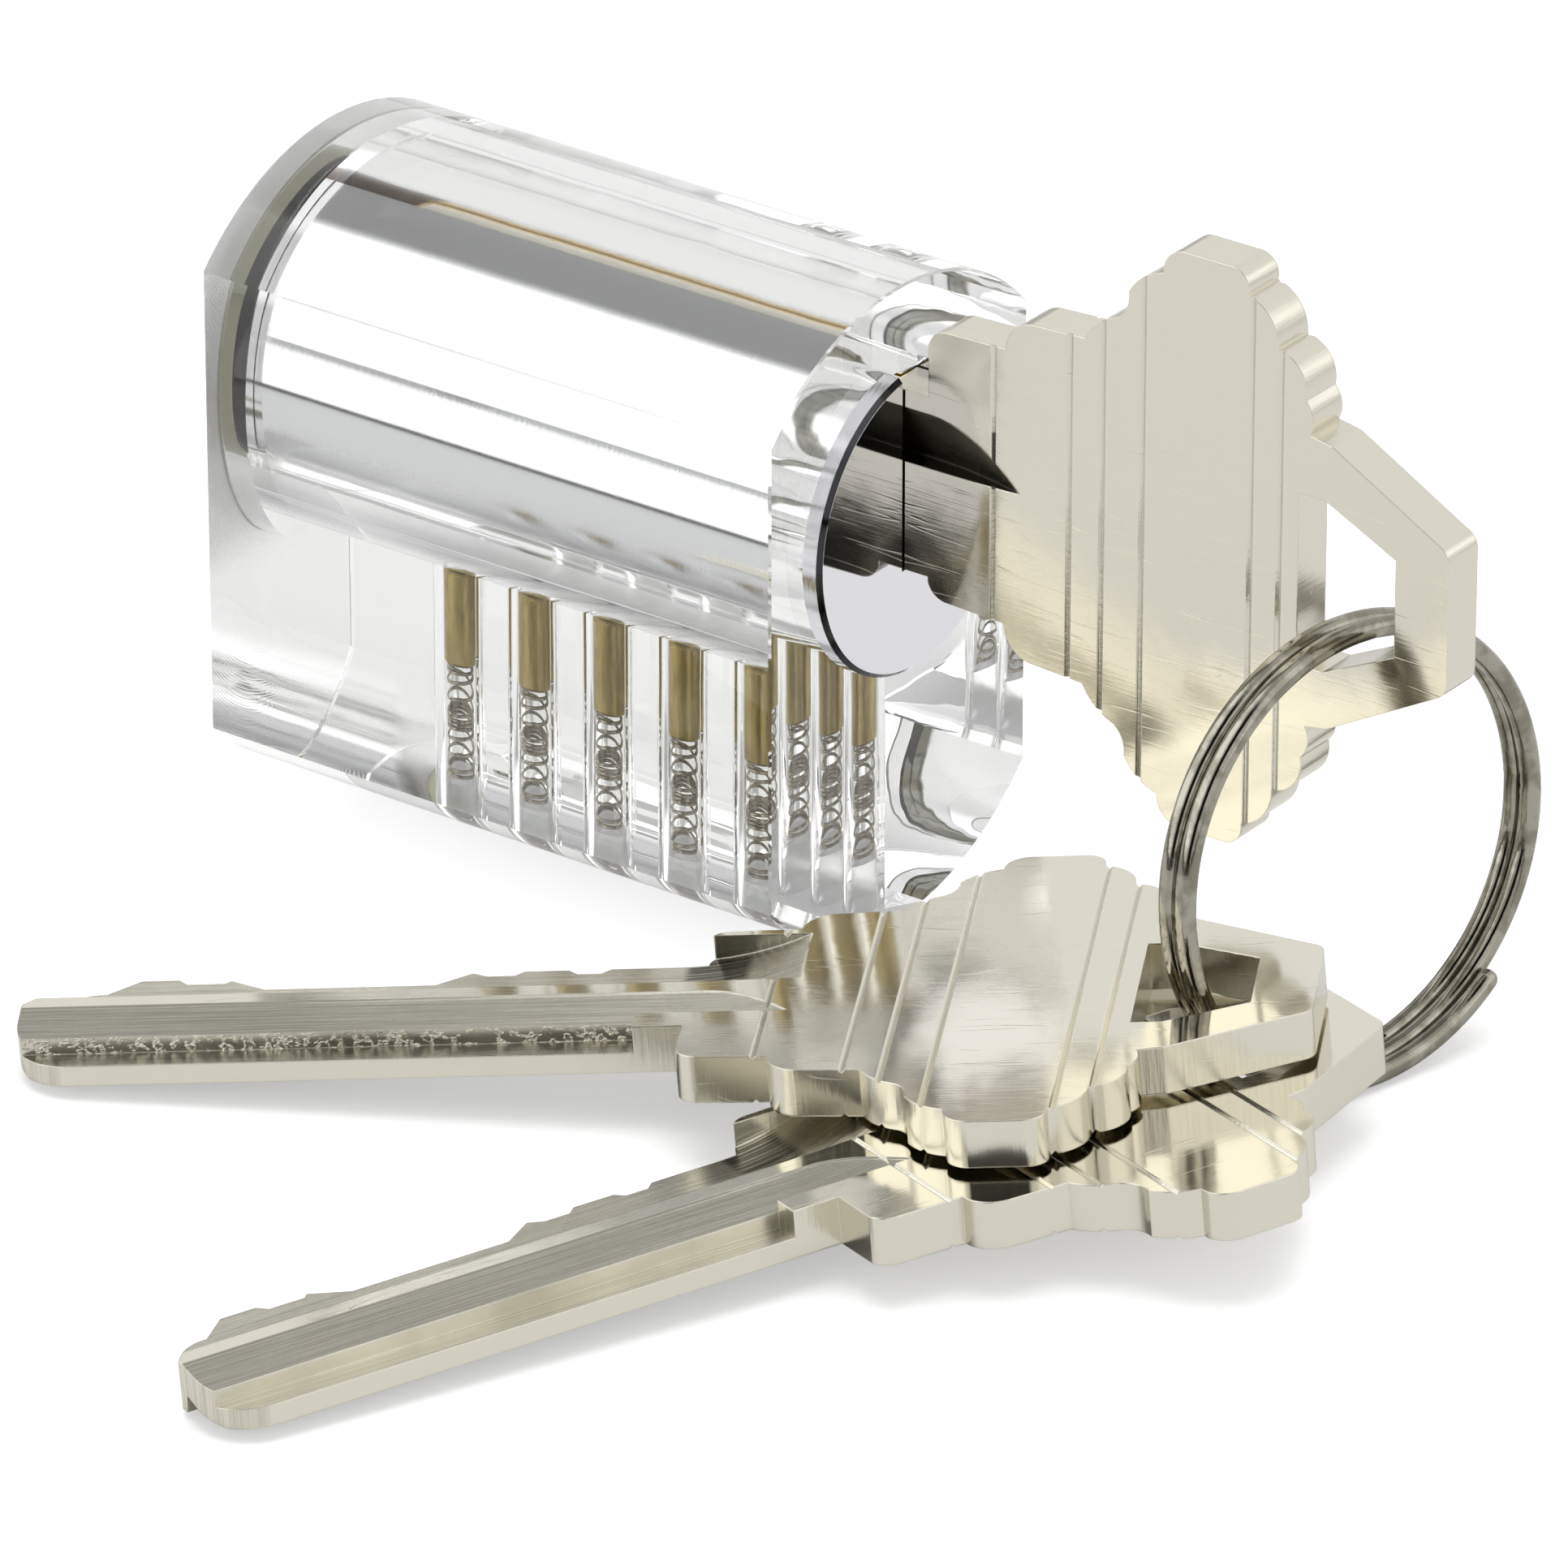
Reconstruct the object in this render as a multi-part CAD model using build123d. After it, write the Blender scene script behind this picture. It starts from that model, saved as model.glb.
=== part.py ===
from build123d import *
import math
import os

# Sizes are in millimetres and angles in degrees.
# X runs across the lock, -Y out of the key side, +Z up.
# The origin is the centre of the narrow flat that the body stands on.

# Clear body
body_length = 29.8
body_half_width = 9.15
body_arc_radius = 12.4
plug_axis_height = 19.05
top_arc_drop = 2.0
low_arc_height = 12.25
body_edge_break = 0.1
bore_gap = 0.05
counterbore_radius = 7.5
counterbore_depth = 1.5

# Plug
barrel_radius = 6.5
plug_rear_inset = 0.05
seat_gap = 0.05
flange_radius = 6.95
flange_thickness = 0.9
flange_chamfer = 0.2
keyway_gap = 0.1

# Retaining clip
clip_thickness = 0.9
clip_outer_radius = 7.2
clip_groove_radius = 5.6
clip_gap = 0.05
clip_opening = 7.6
clip_mouth_drop = 3.6

# Pin chambers
chamber_count = 5
chamber_pitch = 3.967
first_chamber_depth = 4.2
chamber_radius = 1.3
driver_radius = 1.225
driver_length = 4.57
driver_drop = 0.1
driver_edge = 0.2
key_pin_radius = 1.2
key_pin_drop = 0.15
key_pin_foot_edge = 0.1
key_pin_tip_edge = 0.7
key_pin_gap = 0.3
key_pin_lift = 1.5
plug_hole_radius = 1.25
plug_hole_headroom = 0.2

# Driver springs
spring_wire = 0.22
spring_outer_radius = 1.075
spring_turns = 7.5
spring_length = 5.4
spring_end_gap = 0.05

# Clear pegs that close the chambers
peg_gap = 0.02

# Key blank: lengths run from the shoulder, heights from the back of the blade,
# and depths from the flank that faces -X on the key in the lock
key_thickness = 2.1
blade_length = 28.2
blade_height = 8.3
blade_inset = 0.14
shoulder_standoff = 2.2
bow_centre_height = 3.05
tongue_height = 1.27
tongue_thickness = 0.9
tongue_end = 2.1
back_groove_depth = 0.5
back_groove_top = 3.4
rib_top = 4.3
rib_foot = 4.5
edge_thickness = 0.95
edge_recess_top = 8.9
side_groove_start = 0.8
side_groove_floor = 3.1
side_groove_end = 3.2
side_groove_wall = 3.3
side_groove_depth = 0.75
cutter_radius = 14.0
back_groove_runout = 0.5
side_groove_runout = 0.13
edge_recess_runout = -1.15
tip_start = 25.9
tip_nose_low = 2.5
tip_nose_high = 3.7
tip_notch = (27.2, 4.9)
tip_edge_start = 25.6
tip_bulge = (0.35, 0.45)

# Key bow: each entry is the next point of the half outline as length from the
# shoulder and distance from the bow's centre line, with a point on the way where it is an arc
bow_start = 5.45
bow_half_outline = (
    ((0.3, 5.95), (0.9, 6.2)),
    ((3.9, 6.3),),
    ((4.3, 7.3), (5.2, 7.75)),
    ((7.9, 7.9),),
    ((8.5, 8.7), (9.5, 9.3)),
    ((9.95, 9.85), (10.05, 10.6)),
    ((10.6, 11.3), (11.75, 11.9)),
    ((12.05, 12.75), (12.8, 13.1)),
    ((15.2, 13.1),),
    ((15.85, 12.75), (16.0, 12.0)),
    ((17.1, 11.3), (17.5, 10.0)),
    ((18.6, 9.4), (18.9, 8.1)),
    ((19.25, 7.3), (19.1, 6.6)),
    ((20.2, 6.4),),
    ((25.5, 3.45),),
    ((25.87, 3.15), (26.0, 2.7)),
)
bow_hole_start = 18.6
bow_hole_bend = 19.9
bow_hole_end = 23.4
bow_hole_half_width = 3.9
bow_hole_end_half_width = 2.2
bow_line_stations = (3.3, 7.15, 8.8, 10.8, 16.2, 17.65)
bow_line_depth = 0.14

# Cuts of the key in the lock: one depth at each chamber, deeper towards the tip
first_cut_depth = 0.3
cut_deepening = 0.4
cut_flat = 1.2

# Cut edge of the two loose keys as length from the shoulder and depth of cut
loose_cut_edge = (
    (4.1, 0.0), (4.5, 0.4), (5.5, 0.4), (5.9, 0.0),
    (7.75, 0.0), (8.15, 0.4), (9.3, 0.4), (9.95, 0.05),
    (11.4, 1.15), (18.6, 1.15), (20.15, 0.2), (20.4, 0.45),
    (22.0, 0.45), (22.4, 0.0), (24.0, 0.0), (25.3, 1.3),
)

# Split ring
ring_wire = 0.9
ring_mean_radius = 9.8
ring_pitch = 1.32
ring_overlap = 26.4
ring_start_angle = 230.3
ring_turn = 13.5
ring_lean = 4.4
ring_offset = -0.3
ring_standoff = 23.3
ring_drop = 8.729

# Loose keys: place of the shoulder at the back of the blade, with its height counted
# from the plug's axis, as the keys hang on the ring, and heading of the bow
loose_key_lean = 5.82
upper_key_place = (-20.92, -19.28, -16.13)
upper_key_heading = -60.4
lower_key_place = (-27.37, -31.93, -17.27)
lower_key_heading = -23.65

# Arcs in each turn of a helix, and points on each arc where its least gap is measured
helix_quarters = 4
gap_points = 6

# Values worked out from the sizes above
overcut = 1.0
front_y = -body_length / 2
rear_y = body_length / 2
plug_rear = rear_y - plug_rear_inset
bore_radius = barrel_radius + bore_gap
body_height = plug_axis_height - top_arc_drop + body_arc_radius
chamber_ys = [front_y + first_chamber_depth + i * chamber_pitch for i in range(chamber_count)]
driver_top = plug_axis_height - barrel_radius - driver_drop
driver_bottom = driver_top - driver_length
peg_top = driver_bottom - 2 * spring_end_gap - spring_length
spine_height = plug_axis_height + barrel_radius - blade_inset
shoulder_y = front_y - shoulder_standoff
key_frame = Plane(origin=(-key_thickness / 2, shoulder_y, spine_height), x_dir=(0, -1, 0), z_dir=(1, 0, 0))


def rod_along_y(radius, start, end):
    frame = Plane(origin=(0, start, plug_axis_height), x_dir=(1, 0, 0), z_dir=(0, 1, 0))
    return frame * Cylinder(radius, end - start, align=(Align.CENTER, Align.CENTER, Align.MIN))


def upright(radius, y, bottom, top):
    return Pos(0, y, bottom) * Cylinder(radius, top - bottom, align=(Align.CENTER, Align.CENTER, Align.MIN))


def block(low, high):
    size = [h - l for l, h in zip(low, high)]
    return Pos(*low) * Box(*size, align=(Align.MIN, Align.MIN, Align.MIN))


# Point on an arc of the body's outline, half way between two of its points
def arc_middle(centre_height, start, end):
    angles = [math.atan2(z - centre_height, x) for x, z in (start, end)]
    middle = sum(angles) / 2
    return body_arc_radius * math.cos(middle), centre_height + body_arc_radius * math.sin(middle)


def body_outline():
    top_centre = plug_axis_height - top_arc_drop
    low_centre = low_arc_height
    rise = math.sqrt(body_arc_radius ** 2 - body_half_width ** 2)
    base_half_width = math.sqrt(body_arc_radius ** 2 - low_centre ** 2)
    shoulder = (body_half_width, top_centre + rise)
    hip = (body_half_width, low_centre - rise)
    foot = (base_half_width, 0)
    low_arc = ThreePointArc(hip, arc_middle(low_centre, hip, foot), foot)
    right = [Line(shoulder, hip), low_arc]
    left = [edge.mirror(Plane.YZ) for edge in right]
    top = ThreePointArc(shoulder, (0, body_height), (-body_half_width, shoulder[1]))
    base = Line(foot, (-base_half_width, 0))
    return make_face([top, base] + right + left)


# Clear body: an oval bar with flat sides, bored for the plug and drilled for the pins
def lock_body():
    body = extrude(Plane.XZ.offset(-rear_y) * body_outline(), amount=body_length)
    end_faces = body.faces().sort_by(Axis.Y)
    body = chamfer(end_faces[0].edges() + end_faces[-1].edges(), body_edge_break)
    body -= rod_along_y(bore_radius, front_y - overcut, rear_y + overcut)
    body -= rod_along_y(counterbore_radius, rear_y - counterbore_depth, rear_y + overcut)
    for y in chamber_ys:
        body -= upright(chamber_radius, y, -overcut, plug_axis_height)
    return body


def chamber_peg(y):
    return upright(chamber_radius - peg_gap, y, 0, peg_top)


def driver_pin(y):
    pin = upright(driver_radius, y, driver_bottom, driver_top)
    return chamfer(pin.edges().filter_by(GeomType.CIRCLE), driver_edge)


# Depth of cut at each chamber, counted from the front
def cut_depth(index):
    return first_cut_depth + index * cut_deepening


def key_pin(index):
    foot = plug_axis_height - barrel_radius + key_pin_drop
    tip = spine_height - blade_height + cut_depth(index) - key_pin_gap
    pin = upright(key_pin_radius, chamber_ys[index], foot, tip)
    ends = pin.edges().filter_by(GeomType.CIRCLE).sort_by(Axis.Z)
    pin = chamfer(ends[-1], key_pin_tip_edge)
    foot_edge = pin.edges().filter_by(GeomType.CIRCLE).sort_by(Axis.Z)[0]
    return chamfer(foot_edge, key_pin_foot_edge)


# Path of a helix about +Z, from a formula, as two arcs for each quarter turn or less,
# with a straight run of one wire diameter at both ends
def helix_path(radius, pitch, turns, start_angle, lead):
    steps = math.ceil(turns * helix_quarters)
    rise = pitch / (2 * math.pi)
    places = []
    tangents = []
    for i in range(steps + 1):
        angle = 2 * math.pi * turns * i / steps
        around = angle + math.radians(start_angle)
        places.append(Vector(radius * math.cos(around), radius * math.sin(around), rise * angle))
        tangents.append(Vector(-radius * math.sin(around), radius * math.cos(around), rise).normalized())
    edges = [Line(places[0] - tangents[0] * lead, places[0])]
    for p, q, u, v in zip(places, places[1:], tangents, tangents[1:]):
        chord = q - p
        along = chord.dot(u + v)
        bend = 2 * (1 - u.dot(v))
        reach = (math.sqrt(along ** 2 + bend * chord.dot(chord)) - along) / bend
        first = p + u * reach
        last = q - v * reach
        middle = (first + last) * 0.5
        edges.append(TangentArc(p, middle, tangent=u))
        edges.append(TangentArc(middle, q, tangent=(last - first).normalized()))
    edges.append(Line(places[-1], places[-1] + tangents[-1] * lead))
    return edges


# Least gap between two turns, measured on points of the path at least half a turn apart
def least_gap(edges, radius, wire):
    points = [edge @ (k / gap_points) for edge in edges for k in range(gap_points)]
    apart = 2.0 * radius
    walk = [0.0]
    for p, q in zip(points, points[1:]):
        walk.append(walk[-1] + (q - p).length)
    gaps = [
        (points[i] - points[j]).length
        for i in range(len(points))
        for j in range(i)
        if walk[i] - walk[j] > apart
    ]
    return min(gaps) - wire


def coil(name, radius, pitch, turns, start_angle, wire):
    edges = helix_path(radius, pitch, turns, start_angle, wire)
    section = Plane(origin=edges[0] @ 0, z_dir=edges[0] % 0) * Circle(wire / 2)
    print(name, "least gap between turns", round(least_gap(edges, radius, wire), 3))
    return sweep(section, path=Wire(edges))


def driver_spring(y):
    radius = spring_outer_radius - spring_wire / 2
    pitch = (spring_length - spring_wire) / spring_turns
    turns = coil("driver_spring", radius, pitch, spring_turns, 0, spring_wire)
    return Pos(0, y, peg_top + spring_end_gap + spring_wire / 2) * turns


# Sketch plane across the blade: its axes are the height and the depth
def blade_section(station):
    return Plane(origin=(station, 0, 0), x_dir=(0, 1, 0), z_dir=(1, 0, 0))


# Milled groove along the blade whose end runs out in the round of the cutter
def milled(points, runout, axis_depth):
    start = -blade_length - overcut
    section = Polygon(*points, align=None)
    straight = extrude(blade_section(start) * section, amount=runout - start)
    cutter_axis = Axis((runout, 0, axis_depth), (0, 1, 0))
    return straight + revolve(blade_section(runout) * section, axis=cutter_axis, revolution_arc=360)


def side_groove():
    slope = (side_groove_floor - side_groove_start) / side_groove_depth
    wall = (side_groove_wall - side_groove_end) / side_groove_depth
    points = (
        (side_groove_wall + wall * overcut, -overcut),
        (side_groove_end, side_groove_depth),
        (side_groove_floor, side_groove_depth),
        (side_groove_start - slope * overcut, -overcut),
    )
    return milled(points, side_groove_runout, side_groove_depth - cutter_radius)


def back_groove():
    floor = key_thickness - back_groove_depth
    slope = (back_groove_top - tongue_height) / back_groove_depth
    points = (
        (tongue_height, floor),
        (back_groove_top + slope * overcut, key_thickness + overcut),
        (tongue_height, key_thickness + overcut),
    )
    return milled(points, back_groove_runout, floor + cutter_radius)


def edge_recess():
    slope = (rib_foot - rib_top) / (key_thickness - edge_thickness)
    points = (
        (rib_foot, edge_thickness),
        (edge_recess_top, edge_thickness),
        (edge_recess_top, key_thickness + overcut),
        (rib_top - slope * overcut, key_thickness + overcut),
    )
    return milled(points, edge_recess_runout, edge_thickness + cutter_radius)


def tongue_recess():
    return block(
        (-blade_length - overcut, -overcut, tongue_thickness),
        (-tongue_end, tongue_height, key_thickness + overcut),
    )


# Blade seen from its flank: back, rounded nose, then the cut edge back to the shoulder
def blade_outline(cut_edge):
    tip_height = blade_height - cut_edge[-1][1]
    corner = blade_length - tip_start
    diagonal = math.sqrt(0.5)
    nose = (-tip_start - corner * diagonal, tip_nose_low * (1 - diagonal))
    edge_bend = (
        -(tip_notch[0] + tip_edge_start) / 2 - tip_bulge[0],
        (tip_notch[1] + tip_height) / 2 + tip_bulge[1],
    )
    edges = [
        Line((bow_centre_height, 0), (-tip_start, 0)),
        ThreePointArc((-tip_start, 0), nose, (-blade_length, tip_nose_low)),
        Line((-blade_length, tip_nose_low), (-blade_length, tip_nose_high)),
        Line((-blade_length, tip_nose_high), (-tip_notch[0], tip_notch[1])),
        ThreePointArc((-tip_notch[0], tip_notch[1]), edge_bend, (-tip_edge_start, tip_height)),
    ]
    last = (-tip_edge_start, tip_height)
    for length, depth in reversed(cut_edge):
        point = (-length, blade_height - depth)
        edges.append(Line(last, point))
        last = point
    edges.append(Line(last, (bow_centre_height, blade_height)))
    edges.append(Line((bow_centre_height, blade_height), (bow_centre_height, 0)))
    return make_face(edges)


# Half of the bow's edge, mirrored by the sign
def bow_side(sign):
    def place(point):
        return (point[0], bow_centre_height + sign * point[1])

    last = place((0, bow_start))
    edges = []
    for entry in bow_half_outline:
        end = place(entry[-1])
        if len(entry) == 2:
            edges.append(ThreePointArc(last, place(entry[0]), end))
        else:
            edges.append(Line(last, end))
        last = end
    return edges, last


def bow_outline():
    left, left_end = bow_side(-1)
    right, right_end = bow_side(1)
    shoulder = Line((0, bow_centre_height - bow_start), (0, bow_centre_height + bow_start))
    return make_face([shoulder] + left + right + [Line(left_end, right_end)])


def bow_hole():
    wide = bow_hole_half_width
    narrow = bow_hole_end_half_width
    points = (
        (bow_hole_start, -wide),
        (bow_hole_bend, -wide),
        (bow_hole_end, -narrow),
        (bow_hole_end, narrow),
        (bow_hole_bend, wide),
        (bow_hole_start, wide),
    )
    return Pos(0, bow_centre_height) * Polygon(*points, align=None)


def bow_lines():
    side = bow_line_depth * math.sqrt(2)
    reach = 2 * max(entry[-1][1] for entry in bow_half_outline) + overcut
    bar = Rot(Y=45) * Box(side, reach, side)
    return [
        Pos(station, bow_centre_height, face) * bar
        for station in bow_line_stations
        for face in (0, key_thickness)
    ]


# One key lying with its length along X and its thickness along Z
def key_blank(cut_edge):
    bow = extrude(bow_outline() - bow_hole(), amount=key_thickness)
    blade = extrude(blade_outline(cut_edge), amount=key_thickness)
    solid = bow + blade
    for tool in (side_groove(), back_groove(), edge_recess(), tongue_recess()):
        solid -= tool
    for line in bow_lines():
        solid -= line
    return solid


# Cut edge of the key in the lock: a flat at each chamber and a ramp down to the next
def stepped_cut_edge():
    first = first_chamber_depth + shoulder_standoff
    points = [(first - cut_flat / 2 - first_cut_depth, 0.0)]
    for index in range(chamber_count):
        station = first + index * chamber_pitch
        points.append((station - cut_flat / 2, cut_depth(index)))
        points.append((station + cut_flat / 2, cut_depth(index)))
    return points


def key_in_lock():
    return key_frame * key_blank(stepped_cut_edge())


def loose_key(place, heading):
    lie = Pos(0, 0, plug_axis_height) * Pos(*place) * Rot(X=-loose_key_lean) * Rot(Z=heading)
    return lie * key_blank(loose_cut_edge)


# Keyway: the blade's section with a gap all round, open at the back,
# and wider in the flange for the part of the key that is as thick as the bow
def keyway():
    section = Polygon(
        (0, 0),
        (side_groove_start, 0),
        (side_groove_floor, side_groove_depth),
        (side_groove_end, side_groove_depth),
        (side_groove_wall, 0),
        (blade_height, 0),
        (blade_height, edge_thickness),
        (rib_foot, edge_thickness),
        (rib_top, key_thickness),
        (back_groove_top, key_thickness),
        (tongue_height, key_thickness - back_groove_depth),
        (tongue_height, tongue_thickness),
        (0, tongue_thickness),
        align=None,
    )
    section = offset(section, amount=keyway_gap, kind=Kind.INTERSECTION)
    back_end = shoulder_y - plug_rear - overcut
    way = extrude(blade_section(back_end) * section, amount=overcut - back_end)
    flange_start = seat_gap - shoulder_standoff
    above = -flange_radius
    way += block((back_end, above, -keyway_gap), (overcut, keyway_gap, tongue_thickness + keyway_gap))
    way += block(
        (flange_start, above, -keyway_gap),
        (overcut, blade_height + keyway_gap, key_thickness + keyway_gap),
    )
    return key_frame * way


def clip_front():
    return rear_y - counterbore_depth + clip_gap


def plug():
    seat = front_y - seat_gap
    barrel = rod_along_y(barrel_radius, seat - overcut / 2, plug_rear)
    flange = rod_along_y(flange_radius, seat - flange_thickness, seat)
    rim = flange.edges().filter_by(GeomType.CIRCLE).sort_by(Axis.Y)[0]
    solid = barrel + chamfer(rim, flange_chamfer)
    groove_start = clip_front() - clip_gap
    groove_end = clip_front() + clip_thickness + clip_gap
    solid -= rod_along_y(flange_radius, groove_start, groove_end) - rod_along_y(
        clip_groove_radius, groove_start, groove_end
    )
    for index, y in enumerate(chamber_ys):
        tip = spine_height - blade_height + cut_depth(chamber_count - 1) - key_pin_gap
        ceiling = tip + key_pin_lift + plug_hole_headroom
        solid -= upright(plug_hole_radius, y, 0, ceiling)
    return solid - keyway()


def retaining_clip():
    start = clip_front()
    clip = rod_along_y(clip_outer_radius, start, start + clip_thickness)
    clip -= rod_along_y(clip_groove_radius + clip_gap, start - overcut, start + clip_thickness + overcut)
    mouth = block(
        (-clip_opening / 2, start - overcut, plug_axis_height - clip_outer_radius - overcut),
        (clip_opening / 2, start + clip_thickness + overcut, plug_axis_height - clip_mouth_drop),
    )
    return clip - mouth


def ring_frame():
    turn = math.radians(ring_turn)
    lean = math.radians(ring_lean)
    return Plane(
        origin=(ring_offset, front_y - ring_standoff, plug_axis_height - ring_drop),
        x_dir=(-math.cos(turn), math.sin(turn), 0),
        z_dir=(math.cos(lean) * math.sin(turn), math.cos(lean) * math.cos(turn), -math.sin(lean)),
    )


def key_ring():
    turns = 2 + ring_overlap / 360
    coils = coil("key_ring", ring_mean_radius, ring_pitch, turns, ring_start_angle, ring_wire)
    return ring_frame() * Pos(0, 0, -ring_pitch * turns / 2) * coils


def sub_parts():
    parts = {"lock_body": lock_body(), "plug": plug(), "retaining_clip": retaining_clip()}
    for index, y in enumerate(chamber_ys):
        number = index + 1
        parts[f"chamber_peg_{number}"] = chamber_peg(y)
        parts[f"driver_pin_{number}"] = driver_pin(y)
        parts[f"driver_spring_{number}"] = driver_spring(y)
        parts[f"key_pin_{number}"] = key_pin(index)
    parts["key"] = key_in_lock()
    parts["key_ring"] = key_ring()
    parts["loose_key_upper"] = loose_key(upper_key_place, upper_key_heading)
    parts["loose_key_lower"] = loose_key(lower_key_place, lower_key_heading)
    return parts


os.makedirs("parts", exist_ok=True)
for name, solid in sub_parts().items():
    export_step(solid, f"parts/{name}.step")
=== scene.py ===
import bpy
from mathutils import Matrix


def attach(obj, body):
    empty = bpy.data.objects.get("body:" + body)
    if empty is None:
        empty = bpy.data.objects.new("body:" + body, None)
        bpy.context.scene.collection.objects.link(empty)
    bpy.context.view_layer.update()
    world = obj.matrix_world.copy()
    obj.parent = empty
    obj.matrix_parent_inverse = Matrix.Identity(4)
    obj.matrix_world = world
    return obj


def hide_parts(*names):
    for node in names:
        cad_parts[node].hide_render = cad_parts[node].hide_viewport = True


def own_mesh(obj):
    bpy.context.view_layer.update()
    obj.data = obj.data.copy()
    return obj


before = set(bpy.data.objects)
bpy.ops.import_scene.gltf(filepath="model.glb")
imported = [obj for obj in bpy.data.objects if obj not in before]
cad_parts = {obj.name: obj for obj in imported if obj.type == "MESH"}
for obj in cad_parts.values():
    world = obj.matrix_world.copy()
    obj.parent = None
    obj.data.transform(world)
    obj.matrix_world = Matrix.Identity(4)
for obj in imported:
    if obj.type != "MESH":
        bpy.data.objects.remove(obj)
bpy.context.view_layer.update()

import math

import bpy
import numpy as np
from mathutils import Matrix, Vector

scene = bpy.context.scene
mm = 0.001

cameraPlace = {
    "side": 36.31,          # degrees from the lock's left side towards its front
    "height": 26.74,        # degrees above the table
    "distance": 0.59,
    "lens": 324.0,
    "sensor": 36.0,
    "near": 0.01,
    "aim": (0.0, -0.0149, 0.01905),
    "right": -0.00484,      # the picture's centre, seen from the aim
    "up": -0.01135,
}
rays = {"all": 32, "glossy": 24, "transmission": 24}


def makeCamera(place):
    side, height = math.radians(place["side"]), math.radians(place["height"])
    level = math.cos(height)
    back = Vector((-level * math.cos(side), -level * math.sin(side), math.sin(height)))
    right = Vector((math.sin(side), -math.cos(side), 0))
    up = back.cross(right)
    camera = bpy.data.objects.new("camera", bpy.data.cameras.new("camera"))
    camera.data.lens = place["lens"]
    camera.data.sensor_width = place["sensor"]
    camera.data.clip_start = place["near"]
    camera.matrix_world = Matrix((right, up, back)).transposed().to_4x4()
    shift = back * place["distance"] + right * place["right"] + up * place["up"]
    camera.location = Vector(place["aim"]) + shift
    scene.collection.objects.link(camera)
    scene.camera = camera


makeCamera(cameraPlace)
scene.view_settings.view_transform = "Standard"
scene.cycles.max_bounces = rays["all"]
scene.cycles.glossy_bounces = rays["glossy"]
scene.cycles.transmission_bounces = rays["transmission"]
print("camera is in place")


def startMaterial(name):
    material = bpy.data.materials.new(name)
    material.use_nodes = True
    tree = material.node_tree
    tree.nodes.clear()
    output = tree.nodes.new("ShaderNodeOutputMaterial")
    shader = tree.nodes.new("ShaderNodeBsdfPrincipled")
    tree.links.new(shader.outputs[0], output.inputs[0])
    return material, tree, shader, output


def fillSocket(tree, socket, value):
    if isinstance(value, bpy.types.NodeSocket):
        tree.links.new(value, socket)
    else:
        socket.default_value = value


def addNode(tree, kind, settings=None, pairs=(), **named):
    # pairs give a value for an input's number, and named a value for an input's name
    node = tree.nodes.new(kind)
    for name, value in (settings or {}).items():
        setattr(node, name, value)
    for number, value in pairs:
        fillSocket(tree, node.inputs[number], value)
    for name, value in named.items():
        fillSocket(tree, node.inputs[name], value)
    return node


def maths(tree, operation, a, b=0.0, c=0.0):
    values = ((0, a), (1, b), (2, c))
    return addNode(tree, "ShaderNodeMath", {"operation": operation}, values).outputs[0]


def times(tree, first, *others):
    # product of two or more masks
    for mask in others:
        first = maths(tree, "MULTIPLY", first, mask)
    return first


def timesPlus(tree, a, b, c):
    # a times b, plus c
    return maths(tree, "MULTIPLY_ADD", a, b, c)


def largest(tree, a, b):
    return maths(tree, "MAXIMUM", a, b)


def invert(tree, a):
    return maths(tree, "SUBTRACT", 1.0, a)


def ramp(tree, value, low, high):
    # 0 below low, 1 above high, smooth between them
    values = ((0, value), (1, low), (2, high))
    kind = {"interpolation_type": "SMOOTHSTEP"}
    return addNode(tree, "ShaderNodeMapRange", kind, values).outputs[0]


def between(tree, value, low, high, soft):
    # 1 from low to high, 0 outside
    above = ramp(tree, value, low - soft, low)
    return times(tree, above, invert(tree, ramp(tree, value, high, high + soft)))


def mixFloats(tree, share, a, b):
    values = ((0, share), (2, a), (3, b))
    return addNode(tree, "ShaderNodeMix", {"data_type": "FLOAT"}, values).outputs[0]


def mixColours(tree, share, a, b):
    values = ((0, share), (6, a), (7, b))
    return addNode(tree, "ShaderNodeMix", {"data_type": "RGBA"}, values).outputs[2]


def addBump(tree, strength, depth, height):
    # depth is in millimetres
    return addNode(tree, "ShaderNodeBump", Strength=strength, Distance=depth * mm, Height=height)


def startGroup(name, inputs, output):
    group = bpy.data.node_groups.new(name, "ShaderNodeTree")
    for socket, kind, value in inputs:
        made = group.interface.new_socket(socket, in_out="INPUT", socket_type=kind)
        if value is not None:
            made.default_value = value
    group.interface.new_socket(output, in_out="OUTPUT", socket_type="NodeSocketFloat")
    given = group.nodes.new("NodeGroupInput").outputs
    made = group.nodes.new("NodeGroupOutput").inputs
    return group, given, made


def useGroup(tree, group, **inputs):
    node = tree.nodes.new("ShaderNodeGroup")
    node.node_tree = group
    for name, value in inputs.items():
        fillSocket(tree, node.inputs[name], value)
    return node.outputs[0]


def millimetres(tree, place=Matrix.Identity(4)):
    # object coordinates, counted in millimetres in the frame that place gives
    where = tree.nodes.new("ShaderNodeTexCoord").outputs["Object"]
    turn, spot = place.to_euler("XYZ"), place.to_translation()
    node = addNode(tree, "ShaderNodeMapping", {"vector_type": "TEXTURE"},
                   Vector=where, Location=spot, Rotation=turn, Scale=(mm, mm, mm))
    return node.outputs[0]


def apart(tree, vector):
    return addNode(tree, "ShaderNodeSeparateXYZ", Vector=vector).outputs


def axisRadius(tree, parts, height):
    # distance from the lock's axis: square root of x squared plus (z - height) squared
    up = maths(tree, "SUBTRACT", parts["Z"], height)
    return maths(tree, "SQRT", timesPlus(tree, parts["X"], parts["X"], times(tree, up, up)))


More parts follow.
